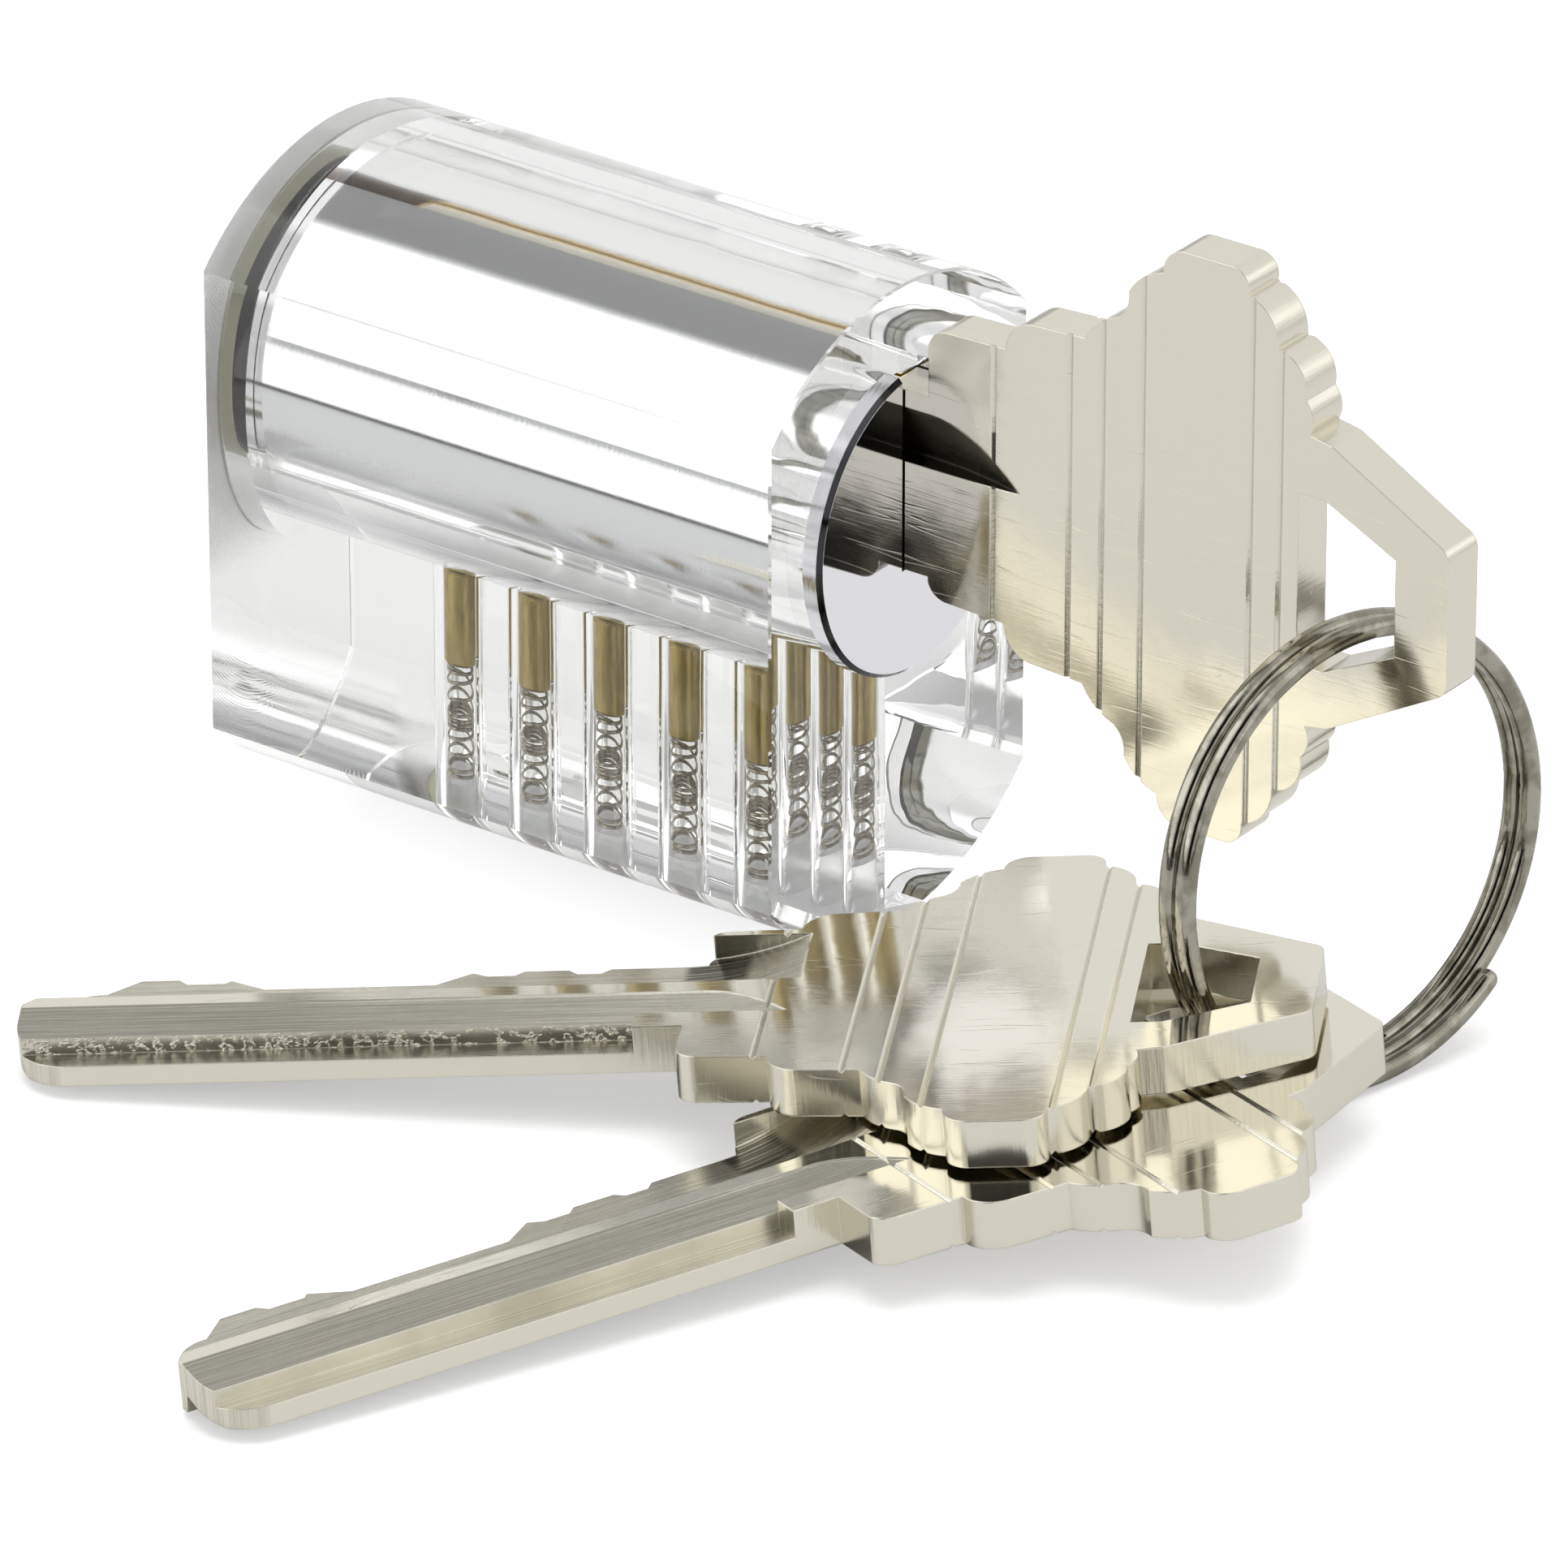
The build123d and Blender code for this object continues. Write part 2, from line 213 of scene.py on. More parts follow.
def giveMaterial(node, material):
    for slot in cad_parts[node].material_slots:
        slot.material = material


chambers = {"first": -10.7, "pitch": 3.967, "count": 5}


def inChambers(name):
    return [f"{name}_{index + 1}" for index in range(chambers["count"])]


streakNoise = {"stretch": (1, 1, 1), "detail": 3.0, "roughness": 0.6}


def makeStreaks(look):
    # noise drawn out along one axis: Stretch says how many features a millimetre holds
    inputs = [
        ("Vector", "NodeSocketVector", None),
        ("Stretch", "NodeSocketVector", look["stretch"]),
        ("Detail", "NodeSocketFloat", look["detail"]),
    ]
    group, given, made = startGroup("streaks", inputs, "Value")
    spread = addNode(group, "ShaderNodeVectorMath", {"operation": "MULTIPLY"},
                     ((0, given["Vector"]), (1, given["Stretch"])))
    noise = addNode(group, "ShaderNodeTexNoise", Vector=spread.outputs[0], Scale=1.0,
                    Detail=given["Detail"], Roughness=look["roughness"])
    group.links.new(noise.outputs[0], made["Value"])
    return group


scratchNoise = {
    "layers": (             # turn, size along each axis, and place in the noise
        (0.5, (0.12, 1.6, 1.0), 3.1),
        (-0.9, (0.10, 1.3, 1.0), 8.7),
        (1.4, (0.15, 1.9, 1.0), 15.3),
    ),
    "detail": 1.0,
    "bend": 0.3,
    "middle": 0.5,          # level of the noise along which a scratch runs
    "breakScale": 2.3,
    "breakShare": (0.55, 0.7),
    "scale": 1.0,
    "width": 0.02,
}


def makeScratches(look):
    # thin lines where a stretched, bent noise crosses its middle, broken up by a second noise
    inputs = [
        ("Vector", "NodeSocketVector", None),
        ("Scale", "NodeSocketFloat", look["scale"]),
        ("Width", "NodeSocketFloat", look["width"]),
    ]
    group, given, made = startGroup("scratches", inputs, "Mask")
    lines = []
    for turn, size, seed in look["layers"]:
        turned = addNode(group, "ShaderNodeMapping", Vector=given["Vector"],
                         Location=(seed, seed, seed), Rotation=(0, 0, turn), Scale=size)
        scaled = addNode(group, "ShaderNodeVectorMath", {"operation": "SCALE"},
                         ((0, turned.outputs[0]),), Scale=given["Scale"]).outputs[0]
        noise = addNode(group, "ShaderNodeTexNoise", Vector=scaled, Scale=1.0,
                        Detail=look["detail"], Distortion=look["bend"]).outputs[0]
        away = maths(group, "ABSOLUTE", maths(group, "SUBTRACT", noise, look["middle"]))
        line = invert(group, ramp(group, away, 0.0, given["Width"]))
        gaps = addNode(group, "ShaderNodeTexNoise", Vector=scaled, Scale=look["breakScale"],
                       Detail=look["detail"]).outputs[0]
        lines.append(times(group, line, ramp(group, gaps, *look["breakShare"])))
    total = lines[0]
    for line in lines[1:]:
        total = largest(group, total, line)
    group.links.new(total, made["Mask"])
    return group


streaks = makeStreaks(streakNoise)
scratches = makeScratches(scratchNoise)


def addStreaks(tree, where, size, detail):
    return useGroup(tree, streaks, Vector=where, Stretch=size, Detail=detail)


clearBody = {
    "colour": (0.89, 0.895, 0.88, 1),
    "shade": (0.97, 0.97, 0.975, 1),        # share of a lamp's light that passes
    "trapped": (0.78, 0.79, 0.77, 1),       # light of a ray that bounces about inside
    "trappedDepth": 11.5,                   # bounces after which a ray counts as trapped
    "ior": 1.49,
    "axisHeight": 19.05,
    "roughness": 0.0,
    "boreEdge": (6.60, 6.70),
    "boreRoughness": 0.05,
    "rearEdge": (14.7, 14.8),
    "rearColour": (1, 1, 1, 1),
    "rearRoughness": 0.5,
    "matteFrom": (9.0, 13.0),               # heights between which the rear turns matte
    "recessShadeColour": (0.04, 0.038, 0.02, 1),  # painted shade on the counterbore wall round the clip
    "recessShadeStart": (13.42, 13.52),
    "recessShadeRadius": (7.55, 7.60),
    "markPitch": 0.13,
    "markDepth": 0.0012,
    "matteMarkDepth": 0.008,
    "waveSize": (0.12, 0.12, 0.12),
    "waveDetail": 2.0,
    "waveDepth": 0.06,
    "bumpStrength": 0.6,
    "bumpDepth": 1.0,
}


def makeAcrylic(name, look):
    material, tree, shader, output = startMaterial(name)
    where = millimetres(tree)
    parts = apart(tree, where)
    shader.inputs["IOR"].default_value = look["ior"]
    shader.inputs["Transmission Weight"].default_value = 1.0
    radius = axisRadius(tree, parts, look["axisHeight"])
    # painted shade: the counterbore walls round the clip are darkened in the colour
    recessShade = times(tree, ramp(tree, parts["Y"], *look["recessShadeStart"]),
                  invert(tree, ramp(tree, radius, *look["recessShadeRadius"])))
    rear = ramp(tree, parts["Y"], *look["rearEdge"])
    colour = mixColours(tree, rear, look["colour"], look["rearColour"])
    colour = mixColours(tree, recessShade, colour, look["recessShadeColour"])
    fillSocket(tree, shader.inputs["Base Color"], colour)
    bore = invert(tree, ramp(tree, radius, *look["boreEdge"]))
    matte = times(tree, rear, ramp(tree, parts["Z"], *look["matteFrom"]))
    rough = timesPlus(tree, bore, look["boreRoughness"], look["roughness"])
    rough = timesPlus(tree, matte, look["rearRoughness"], rough)
    fillSocket(tree, shader.inputs["Roughness"], rough)
    # turning marks on the rear face, and slow waves all over
    mark = maths(tree, "SINE", times(tree, radius, 2 * math.pi / look["markPitch"]))
    depth = mixFloats(tree, matte, times(tree, rear, look["markDepth"]), look["matteMarkDepth"])
    waves = addStreaks(tree, where, look["waveSize"], look["waveDetail"])
    height = timesPlus(tree, waves, look["waveDepth"], times(tree, mark, depth))
    bump = addBump(tree, look["bumpStrength"], look["bumpDepth"], height)
    fillSocket(tree, shader.inputs["Normal"], bump.outputs[0])
    # lamps reach the pins through the clear walls
    path = tree.nodes.new("ShaderNodeLightPath").outputs
    through = largest(tree, path["Is Shadow Ray"], path["Is Diffuse Ray"])
    straight = addNode(tree, "ShaderNodeBsdfTransparent", Color=look["shade"])
    mix = addNode(tree, "ShaderNodeMixShader", None,
                  ((0, through), (1, shader.outputs[0]), (2, straight.outputs[0])))
    # a ray that finds no way out shows the mean of the surroundings and not black
    trapped = maths(tree, "GREATER_THAN", path["Ray Depth"], look["trappedDepth"])
    glow = addNode(tree, "ShaderNodeEmission", Color=look["trapped"])
    mix = addNode(tree, "ShaderNodeMixShader", None,
                  ((0, trapped), (1, mix.outputs[0]), (2, glow.outputs[0])))
    fillSocket(tree, output.inputs[0], mix.outputs[0])
    return material


clearPeg = dict(clearBody, roughness=0.25)

giveMaterial("lock_body", makeAcrylic("clearAcrylic", clearBody))
pegAcrylic = makeAcrylic("pegAcrylic", clearPeg)
for node in inChambers("chamber_peg"):
    giveMaterial(node, pegAcrylic)
print("clear body is done")

chromePlug = {
    "colour": (0.80, 0.80, 0.835, 1),
    "axisHeight": 19.05,
    "brass": (0.62, 0.44, 0.16, 1),
    "skinEdge": (6.42, 6.46),               # radius of the bare brass, and of the chrome
    "faceEdge": (-15.7, -15.67),            # where brass starts behind the chromed face
    "rearColour": (0.15, 0.14, 0.08, 1),
    "rear": (13.4, 14.7, 0.03),             # rear end, brass in painted shade: from, to, and its soft edge
    "bevelReflectionColour": (0.05, 0.05, 0.055, 1),
    "bevel": (-15.84, -15.64, 0.01),        # bevel of the flange, painted with a dark reflection: from, to, and soft edge
    "bevelRadius": (6.74, 6.76),
    "roughness": 0.02,
    "lineRoughness": 0.06,
    "brassRoughness": 0.22,
    "lineSize": (0.15, 9.0, 0.15),
    "lineDetail": 4.0,
    "lineStrength": 0.3,
    "lineDepth": 0.02,
}


def makeChrome(name, look):
    material, tree, shader, output = startMaterial(name)
    where = millimetres(tree)
    parts = apart(tree, where)
    radius = axisRadius(tree, parts, look["axisHeight"])
    inner = times(tree, invert(tree, ramp(tree, radius, *look["skinEdge"])),
                  ramp(tree, parts["Y"], *look["faceEdge"]))
    # painted shade: the rear end in the groove is coloured as brass in shadow
    rear = between(tree, parts["Y"], *look["rear"])
    # painted reflection: the flange bevel is coloured near black, as a dark reflection
    bevel = times(tree, between(tree, parts["Y"], *look["bevel"]),
                  ramp(tree, radius, *look["bevelRadius"]))
    colour = mixColours(tree, inner, look["colour"], look["brass"])
    colour = mixColours(tree, rear, colour, look["rearColour"])
    colour = mixColours(tree, bevel, colour, look["bevelReflectionColour"])
    fillSocket(tree, shader.inputs["Base Color"], colour)
    shader.inputs["Metallic"].default_value = 1.0
    turned = addStreaks(tree, where, look["lineSize"], look["lineDetail"])
    rough = timesPlus(tree, turned, look["lineRoughness"], look["roughness"])
    rough = mixFloats(tree, largest(tree, inner, rear), rough, look["brassRoughness"])
    fillSocket(tree, shader.inputs["Roughness"], rough)
    bump = addBump(tree, look["lineStrength"], look["lineDepth"], turned)
    fillSocket(tree, shader.inputs["Normal"], bump.outputs[0])
    return material


giveMaterial("plug", makeChrome("turnedChrome", chromePlug))

wornMetal = {"detail": 3.0, "share": (0.42, 0.62)}
clipSteel = {
    "colour": (0.55, 0.54, 0.50, 1),
    "streakColour": (0.38, 0.37, 0.34, 1),
    "roughness": 0.22,
    "streakRoughness": 0.2,
    "stretch": (2.0, 6.0, 2.0),
    "strength": 0.3,
    "depth": 0.02,
    "rimShadeColour": (0.07, 0.067, 0.04, 1),    # painted shade where the clip meets the wall
    "rimShadeEdge": (7.12, 7.15),
    "axisHeight": 19.05,
}


def makeWornMetal(name, look):
    # metal whose colour, roughness and surface all follow one streaked pattern
    material, tree, shader, output = startMaterial(name)
    where = millimetres(tree)
    lines = addStreaks(tree, where, look["stretch"], wornMetal["detail"])
    share = ramp(tree, lines, *wornMetal["share"])
    colour = mixColours(tree, share, look["colour"], look["streakColour"])
    # painted shade on the clip's outer rim, where it meets the wall
    if "rimShadeEdge" in look:
        radius = axisRadius(tree, apart(tree, where), look["axisHeight"])
        rimShade = ramp(tree, radius, *look["rimShadeEdge"])
        colour = mixColours(tree, rimShade, colour, look["rimShadeColour"])
    fillSocket(tree, shader.inputs["Base Color"], colour)
    shader.inputs["Metallic"].default_value = 1.0
    rough = timesPlus(tree, lines, look["streakRoughness"], look["roughness"])
    fillSocket(tree, shader.inputs["Roughness"], rough)
    bump = addBump(tree, look["strength"], look["depth"], lines)
    fillSocket(tree, shader.inputs["Normal"], bump.outputs[0])
    return material


giveMaterial("retaining_clip", makeWornMetal("clipSteel", clipSteel))
print("plug is done")

pinBrass = {
    "colour": (0.50, 0.385, 0.13, 1),
    "streakColour": (0.37, 0.265, 0.075, 1),
    "roughness": 0.22,
    "streakRoughness": 0.16,
    "stretch": (2.5, 2.5, 0.4),
    "strength": 0.3,
    "depth": 0.02,
}

brass = makeWornMetal("pinBrass", pinBrass)
for node in inChambers("driver_pin") + inChambers("key_pin"):
    giveMaterial(node, brass)


def makeMesh(name, points, faces, material, smooth=True):
    mesh = bpy.data.meshes.new(name)
    mesh.from_pydata(points.tolist(), [], faces)
    mesh.polygons.foreach_set("use_smooth", np.full(len(mesh.polygons), smooth))
    mesh.update()
    mesh.materials.append(material)
    piece = bpy.data.objects.new(name, mesh)
    scene.collection.objects.link(piece)
    return piece


def unit(vectors):
    return vectors / np.linalg.norm(vectors, axis=-1, keepdims=True)


wireEnd = {"steps": (0.35, 0.65, 0.85)}     # rings of a rounded end, as shares of its length


def closedTube(name, path, radius, ringPoints, material):
    # a circle carried along the path, with rounded ends:
    # point = path + radius * (cos a * side + sin a * lift)
    bend = np.array(wireEnd["steps"])
    before, after = unit(path[0] - path[1]), unit(path[-1] - path[-2])
    start = path[0] + before * (bend * radius)[::-1, None]
    finish = path[-1] + after * (bend * radius)[:, None]
    shrink = np.sqrt(1 - bend ** 2) * radius
    centres = np.concatenate([start, path, finish])
    radii = np.concatenate([shrink[::-1], np.full(len(path), radius), shrink])
    forward = unit(np.gradient(centres, axis=0))
    side = unit(np.cross(forward, [0.0, 0.0, 1.0]))
    lift = np.cross(side, forward)
    angles = np.linspace(0, 2 * np.pi, ringPoints, endpoint=False)[None, :, None]
    circles = np.cos(angles) * side[:, None, :] + np.sin(angles) * lift[:, None, :]
    rings = centres[:, None, :] + radii[:, None, None] * circles
    poles = np.stack([path[0] + before * radius, path[-1] + after * radius])
    points = np.concatenate([rings.reshape(-1, 3), poles])
    # four-sided faces between the rings, and three-sided ones round each pole
    steps = len(centres)
    row = np.arange(steps - 1)[:, None] * ringPoints
    column = np.arange(ringPoints)[None, :]
    following = (column + 1) % ringPoints
    ahead = row + ringPoints
    quads = np.stack([row + column, ahead + column, ahead + following, row + following], -1)
    last = (steps - 1) * ringPoints
    pole = np.full_like(column, steps * ringPoints)
    caps = np.concatenate([np.stack([column, following, pole], -1),
                           np.stack([last + following, last + column, pole + 1], -1)])
    faces = quads.reshape(-1, 4).tolist() + caps.reshape(-1, 3).tolist()
    return makeMesh(name, points, faces, material)


springSteel = {
    "colour": (0.40, 0.36, 0.29, 1),
    "streakColour": (0.20, 0.17, 0.13, 1),
    "roughness": 0.08,
    "streakRoughness": 0.2,
    "stretch": (4.0, 4.0, 4.0),
    "strength": 0.2,
    "depth": 0.02,
    "wire": 0.17,
    "radius": 0.985,
    "foot": 2.52,
    "top": 7.74,
    "turns": 11.5,
    "tightPitch": 0.19,
    "openPitch": 0.78,
    "middleTurns": 1.75,    # tight turns to each side of the middle
    "endTurns": 1.5,        # tight turns at each end
    "blendTurns": 0.5,      # over which the pitch changes
    "ringPoints": 10,
    "turnPoints": 40,
    "anchorHeight": 2.38,
    "keep": 0.545,          # share of the height left when the driver is pressed down
}


def springPath(look, y):
    # turns close together half way up and at both ends, and open between:
    # height = sum of the pitch along the wire, stretched to end at the top
    turns, blend = look["turns"], look["blendTurns"]
    turn = np.linspace(0, turns, int(turns * look["turnPoints"]))
    away = np.abs(turn - turns / 2)
    wideFrom = np.clip((away - look["middleTurns"]) / blend + 0.5, 0, 1)
    wideTo = np.clip((turns / 2 - look["endTurns"] - away) / blend + 0.5, 0, 1)
    wider = look["openPitch"] - look["tightPitch"]
    pitch = look["tightPitch"] + wider * wideFrom * wideTo
    rise = np.cumsum(pitch) - pitch[0]
    rise = look["foot"] + rise / rise[-1] * (look["top"] - look["foot"])
    around = turn * 2 * np.pi
    x, along = look["radius"] * np.cos(around), look["radius"] * np.sin(around)
    return np.stack([x, y + along, rise], -1) * mm


springMaterial = makeWornMetal("springWire", springSteel)
for index in range(chambers["count"]):
    number = index + 1
    y = chambers["first"] + chambers["pitch"] * index
    wire = springSteel["wire"] / 2 * mm
    spring = closedTube(f"spring_coil_{number}", springPath(springSteel, y), wire,
                        springSteel["ringPoints"], springMaterial)
    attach(spring, "lock_body")
    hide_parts(f"driver_spring_{number}")
    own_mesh(spring)
print("pins and springs are done")

nickelKey = {
    "colour": (0.725, 0.695, 0.60, 1),
    "dull": (0.52, 0.50, 0.42, 1),          # of the milled faces
    "dullShare": (0.35, 0.7),
    "shadowed": (0.10, 0.095, 0.075, 1),    # side groove, and run-out at the shoulder
    "roughness": 0.03,
    "cloudRoughness": 0.14,
    "milledRoughness": 0.16,
    "wallRoughness": 0.10,
    "edge": 0.07,           # radius of the worn edges
    "edgeSamples": 4,
    "bumpStrength": 1.0,
    "bumpDepth": 0.02,
    "cloud": ((0.3, 0.3, 0.3), 2.0),        # size of a pattern along each axis, and detail
    "cloudDepth": 0.9,
    "lines": ((0.25, 9.0, 1.0), 4.0),
    "lineDepth": 0.10,
    "mill": ((0.12, 11.0, 0.1), 5.0),
    "millDepth": 0.75,
    "blanking": ((5.0, 5.0, 0.25), 3.0),
    "blankingDepth": 0.55,
    "scratchScale": 0.6,
    "scratchWidth": 0.012,
    "scratchDepth": 0.12,
}
keyFaces = {
    "inside": (0.06, 2.04, 0.03),           # thickness between the flanks, and soft edge
    "blade": (0.04, 8.26, 0.02),            # height of the milled faces, and soft edge
    "bladeEnd": (5.2, 5.3),                 # where the longest milled run-out ends
    "runoutLength": (-0.6, 1.6, 0.5),
    "runoutFoot": (4.35, 4.45),
    "runoutBreak": (0.62, 0.5),
    "grooveStart": (-26.8, -26.6),
    "grooveHeight": (0.8, 3.35, 0.05),
    "grooveDepth": (0.8, 0.78),
}
tornBurrs = {"size": (2.2, 1.0, 3.0), "detail": 3.0, "share": (0.52, 0.62),
             "height": (1.2, 1.3, 0.03), "depth": 3.0}
keyInLock = {"place": (-1.05, -17.1, 25.41)}
looseKeys = {
    "lean": -5.82,
    "loose_key_upper": ((-20.92, -19.28, 2.92), -60.4),
    "loose_key_lower": ((-27.37, -31.93, 1.78), -23.65),
}


def keyInLockFrame(place):
    x, y, z = (value * mm for value in place)
    return Matrix(((0, 0, 1, x), (-1, 0, 0, y), (0, -1, 0, z), (0, 0, 0, 1)))


def looseKeyFrame(place, heading):
    spot = Matrix.Translation(Vector(place) * mm)
    lean = Matrix.Rotation(math.radians(looseKeys["lean"]), 4, "X")
    return spot @ lean @ Matrix.Rotation(math.radians(heading), 4, "Z")


# each key's own frame: length along X, height along Y and thickness along Z
keyFrames = {
    "key": keyInLockFrame(keyInLock["place"]),
    "loose_key_upper": looseKeyFrame(*looseKeys["loose_key_upper"]),
    "loose_key_lower": looseKeyFrame(*looseKeys["loose_key_lower"]),
}


def keyMasks(tree, parts, mill, faces):
    # milled faces along the blade, walls of the outline, and parts that lie in shadow
    inside = between(tree, parts["Z"], *faces["inside"])
    blade = times(tree, between(tree, parts["Y"], *faces["blade"]),
                  invert(tree, ramp(tree, parts["X"], *faces["bladeEnd"])))
    milled = times(tree, inside, blade)
    wall = times(tree, inside, invert(tree, blade))
    runout = times(tree, between(tree, parts["X"], *faces["runoutLength"]),
                   ramp(tree, parts["Y"], *faces["runoutFoot"]), inside,
                   ramp(tree, mill, *faces["runoutBreak"]))
    groove = times(tree, ramp(tree, parts["X"], *faces["grooveStart"]),
                   between(tree, parts["Y"], *faces["grooveHeight"]), milled,
                   ramp(tree, parts["Z"], *faces["grooveDepth"]))
    return milled, wall, largest(tree, runout, groove)


def addBurrs(tree, where, parts, milled, height, look):
    # torn spots along the foot of the milled band
    torn = ramp(tree, addStreaks(tree, where, look["size"], look["detail"]), *look["share"])
    torn = times(tree, torn, milled, between(tree, parts["Y"], *look["height"]))
    return timesPlus(tree, torn, look["depth"], height)


def makeNickel(name, look, place, burrs):
    material, tree, shader, output = startMaterial(name)
    where = millimetres(tree, place)
    parts = apart(tree, where)
    cloud = addStreaks(tree, where, *look["cloud"])
    lines = addStreaks(tree, where, *look["lines"])
    mill = addStreaks(tree, where, *look["mill"])
    blanking = addStreaks(tree, where, *look["blanking"])
    marks = useGroup(tree, scratches, Vector=where, Scale=look["scratchScale"],
                     Width=look["scratchWidth"])
    milled, wall, shadow = keyMasks(tree, parts, mill, keyFaces)
    dull = times(tree, milled, ramp(tree, mill, *look["dullShare"]))
    colour = mixColours(tree, dull, look["colour"], look["dull"])
    colour = mixColours(tree, shadow, colour, look["shadowed"])
    fillSocket(tree, shader.inputs["Base Color"], colour)
    shader.inputs["Metallic"].default_value = 1.0
    rough = timesPlus(tree, cloud, look["cloudRoughness"], look["roughness"])
    rough = timesPlus(tree, milled, look["milledRoughness"], rough)
    rough = timesPlus(tree, wall, look["wallRoughness"], rough)
    fillSocket(tree, shader.inputs["Roughness"], rough)
    height = timesPlus(tree, lines, look["lineDepth"], times(tree, cloud, look["cloudDepth"]))
    height = timesPlus(tree, times(tree, mill, milled), look["millDepth"], height)
    height = timesPlus(tree, times(tree, blanking, wall), look["blankingDepth"], height)
    height = timesPlus(tree, marks, -look["scratchDepth"], height)
    if burrs:
        height = addBurrs(tree, where, parts, milled, height, tornBurrs)
    worn = addNode(tree, "ShaderNodeBevel", {"samples": look["edgeSamples"]},
                   Radius=look["edge"] * mm)
    bump = addBump(tree, look["bumpStrength"], look["bumpDepth"], height)
    fillSocket(tree, bump.inputs["Normal"], worn.outputs[0])
    fillSocket(tree, shader.inputs["Normal"], bump.outputs[0])
    return material


for node, place in keyFrames.items():
    giveMaterial(node, makeNickel(node + "Nickel", nickelKey, place, node == "loose_key_upper"))
print("keys are done")

splitRing = {
    "colour": (0.37, 0.35, 0.295, 1),
    "streakColour": (0.24, 0.225, 0.18, 1),
    "roughness": 0.04,
    "streakRoughness": 0.14,
    "stretch": (0.8, 0.8, 0.8),
    "strength": 0.4,
    "depth": 0.04,
    "wire": 0.92,
    "radius": 9.8,
    "pitch": 0.97,
    "overlap": 26.4,        # degrees past two turns
    "firstEnd": 230.3,
    "turn": 13.5,
    "lean": 4.4,
    "centre": (-0.3, -38.2, 10.321),
    "turnPoints": 120,
    "ringPoints": 20,
}


def ringPath(look):
    # two turns and a little more about the ring's own axis, each turn one pitch further along it
    turns = 2 + look["overlap"] / 360
    t = np.linspace(0, turns, int(turns * look["turnPoints"]))
    around = 2 * np.pi * t + math.radians(look["firstEnd"])
    rise = look["pitch"] * (t - turns / 2)
    local = np.stack([look["radius"] * np.cos(around), look["radius"] * np.sin(around), rise], -1)
    turn, lean = math.radians(look["turn"]), math.radians(look["lean"])
    level = math.cos(lean)
    xAxis = np.array([-math.cos(turn), math.sin(turn), 0])
    zAxis = np.array([level * math.sin(turn), level * math.cos(turn), -math.sin(lean)])
    yAxis = np.cross(zAxis, xAxis)
    return (np.array(look["centre"]) + local @ np.stack([xAxis, yAxis, zAxis])) * mm


ringMaterial = makeWornMetal("ringSteel", splitRing)
ring = closedTube("split_ring", ringPath(splitRing), splitRing["wire"] / 2 * mm,
                  splitRing["ringPoints"], ringMaterial)
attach(ring, "key_ring")
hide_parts("key_ring")
print("ring is done")

table = {
    "half": 1.5,
    "colour": (0.9, 0.9, 0.9, 1),
    "roughness": 0.7,
    "seen": 0.45,           # light added where the camera sees the table
    "through": 0.06,        # light added where clear plastic shows it
}
studio = {
    "light": 0.55,          # level that lights the pieces
    "plain": 0.95,          # level that polished metal and clear plastic show
    "background": 1.0,
    "leastThrough": 0.42,   # darkest level seen through clear plastic
}

# parts of the surroundings as polished metal and clear plastic show them: light level,
# then for each axis the two values of the direction between which the part begins or ends
surroundings = (
    # grey gap above the far side
    (0.40, (("X", -0.04, 0.04), ("X", 0.72, 0.60), ("Y", -0.1, 0.2), ("Z", 0.48, 0.62))),
    # dark foot of the far wall
    (0.04, (("X", 0.0, 0.2), ("Y", 0.6, 0.72), ("Z", 0.32, 0.22), ("Z", -0.02, 0.0))),
    # bright window on the left
    (1.9, (("X", -0.02, -0.08), ("Y", 0.1, 0.3), ("Z", 0.06, 0.08))),
    # unlit room behind the photographer
    (0.01, (("X", -0.15, -0.35), ("Y", 0.05, -0.15), ("Y", -0.56, -0.50), ("Z", -0.2, -0.1))),
    # window on the near right
    (1.4, (("X", -0.3, -0.1), ("Y", -0.42, -0.55), ("Z", 0.1, 0.25))),
)
# dark line at the foot of the left window, which clear plastic shows as dark as it is
horizon = (0.10, (("X", -0.2, -0.4), ("Z", 0.06, 0.05)))


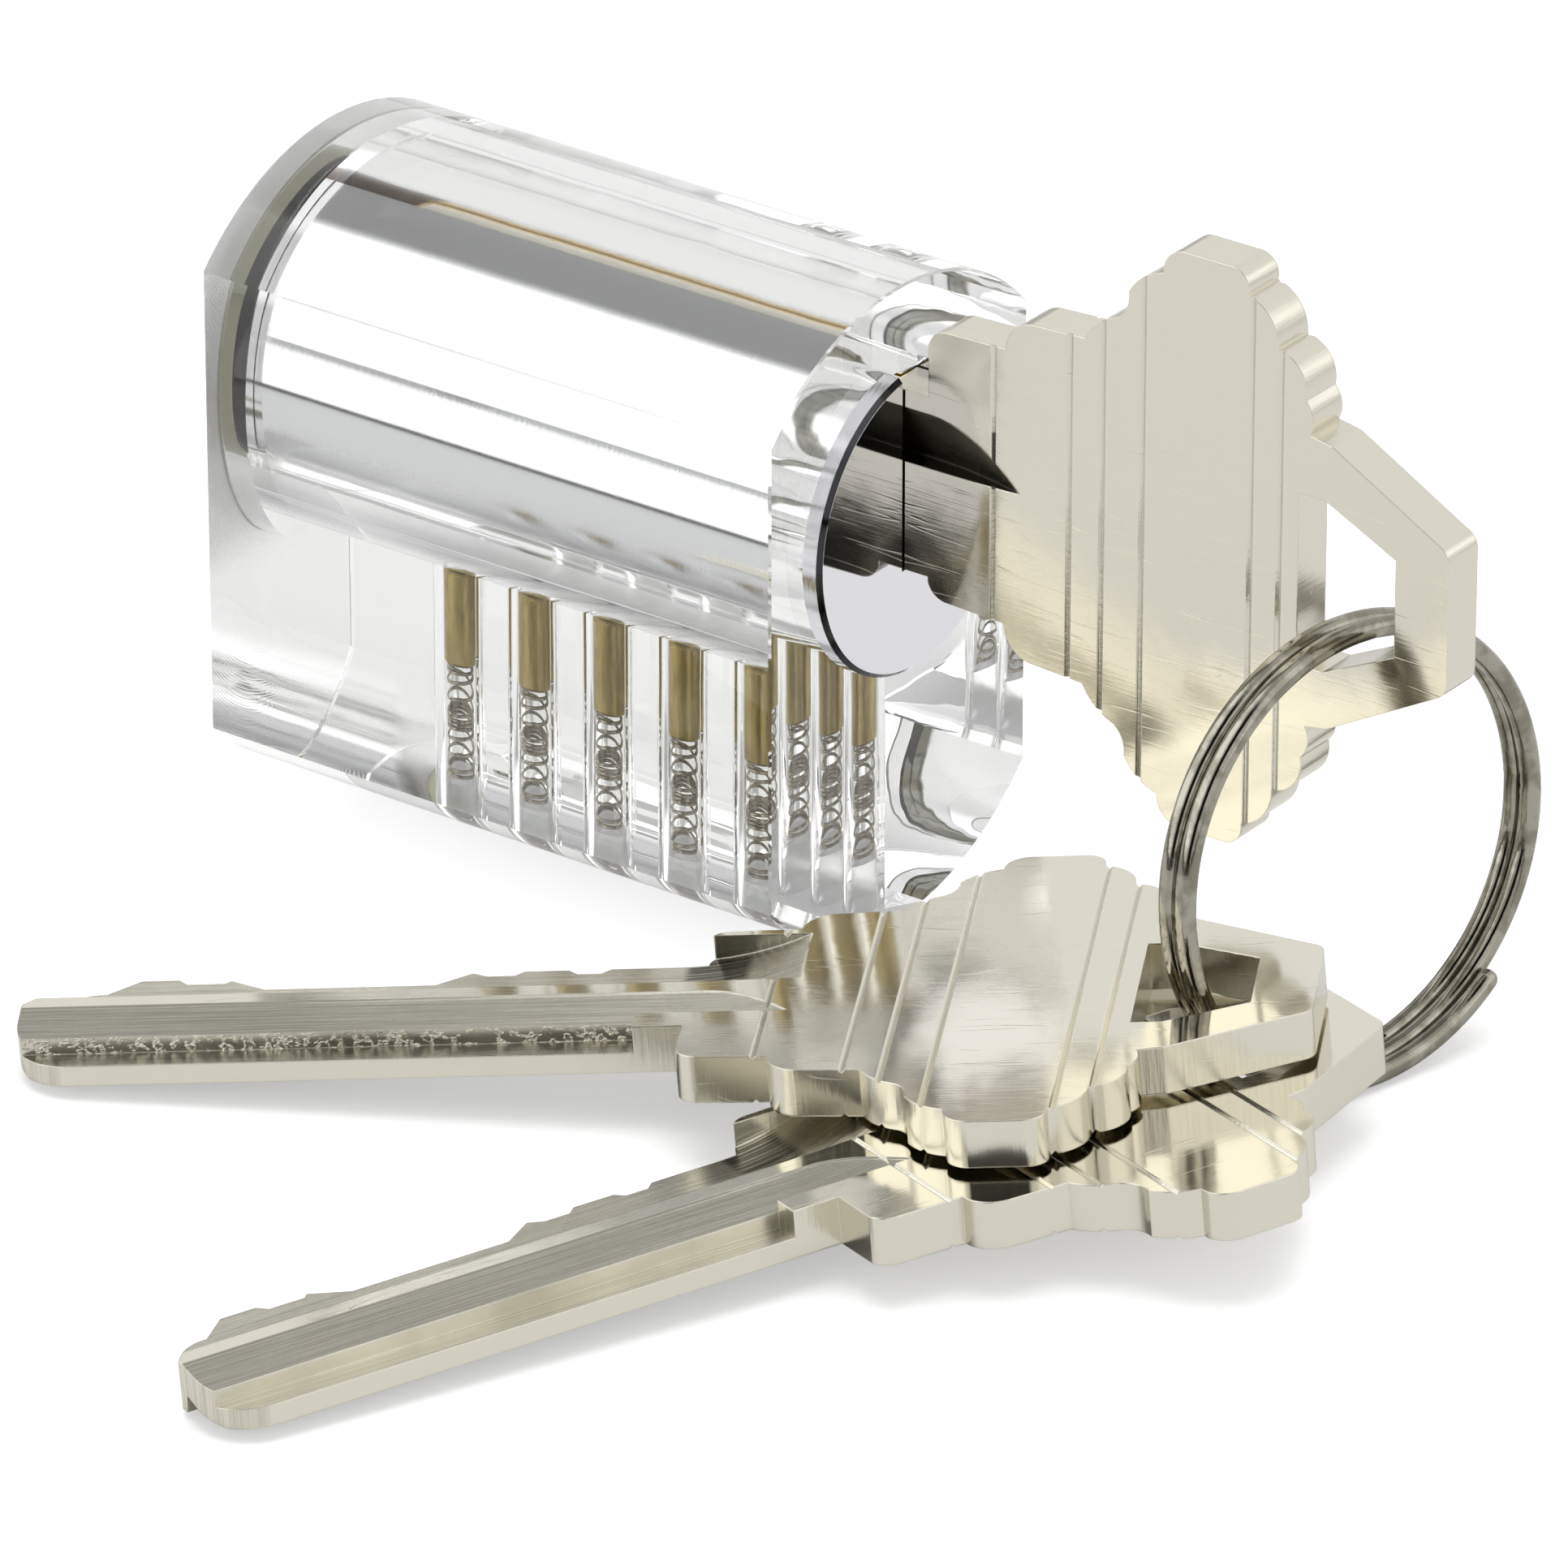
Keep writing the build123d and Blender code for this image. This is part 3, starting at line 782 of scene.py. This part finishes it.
def makeTable(look):
    half = look["half"]
    points = np.array([[-half, -half, 0], [half, -half, 0], [half, half, 0], [-half, half, 0]])
    material, tree, shader, output = startMaterial("table")
    shader.inputs["Base Color"].default_value = look["colour"]
    shader.inputs["Roughness"].default_value = look["roughness"]
    shader.inputs["Emission Color"].default_value = (1, 1, 1, 1)
    path = tree.nodes.new("ShaderNodeLightPath").outputs
    seen = times(tree, path["Is Camera Ray"], look["seen"])
    glow = timesPlus(tree, path["Is Transmission Ray"], look["through"], seen)
    fillSocket(tree, shader.inputs["Emission Strength"], glow)
    makeMesh("table", points, [(0, 1, 2, 3)], material, smooth=False)


def addPart(tree, direction, level, part):
    value, edges = part
    masks = [ramp(tree, direction[axis], begin, end) for axis, begin, end in edges]
    return mixFloats(tree, times(tree, *masks), level, value)


def makeWorld(look):
    world = bpy.data.worlds.new("studio")
    scene.world = world
    world.use_nodes = True
    tree = world.node_tree
    tree.nodes.clear()
    output = tree.nodes.new("ShaderNodeOutputWorld")
    direction = apart(tree, tree.nodes.new("ShaderNodeTexCoord").outputs["Generated"])
    path = tree.nodes.new("ShaderNodeLightPath").outputs
    level = look["plain"]
    for part in surroundings:
        level = addPart(tree, direction, level, part)
    least = times(tree, path["Is Transmission Ray"], look["leastThrough"])
    level = addPart(tree, direction, largest(tree, level, least), horizon)
    shiny = largest(tree, path["Is Glossy Ray"], path["Is Transmission Ray"])
    strength = mixFloats(tree, shiny, look["light"], level)
    strength = mixFloats(tree, path["Is Camera Ray"], strength, look["background"])
    light = addNode(tree, "ShaderNodeBackground", Color=(1, 1, 1, 1), Strength=strength)
    fillSocket(tree, output.inputs[0], light.outputs[0])


softbox = {"place": (0.04, 0.0, 0.6), "aim": (0, 0, 0), "size": 0.5, "power": 2.0}


def makeLamp(name, look):
    lamp = bpy.data.lights.new(name, "AREA")
    lamp.size = look["size"]
    lamp.energy = look["power"]
    holder = bpy.data.objects.new(name, lamp)
    holder.location = look["place"]
    aim = Vector(look["place"]) - Vector(look["aim"])
    holder.rotation_euler = aim.to_track_quat("Z", "Y").to_euler()
    holder.visible_glossy = False           # polished metal shows the surroundings alone
    scene.collection.objects.link(holder)


makeTable(table)
makeWorld(studio)
makeLamp("topSoftbox", softbox)
print("studio is done")
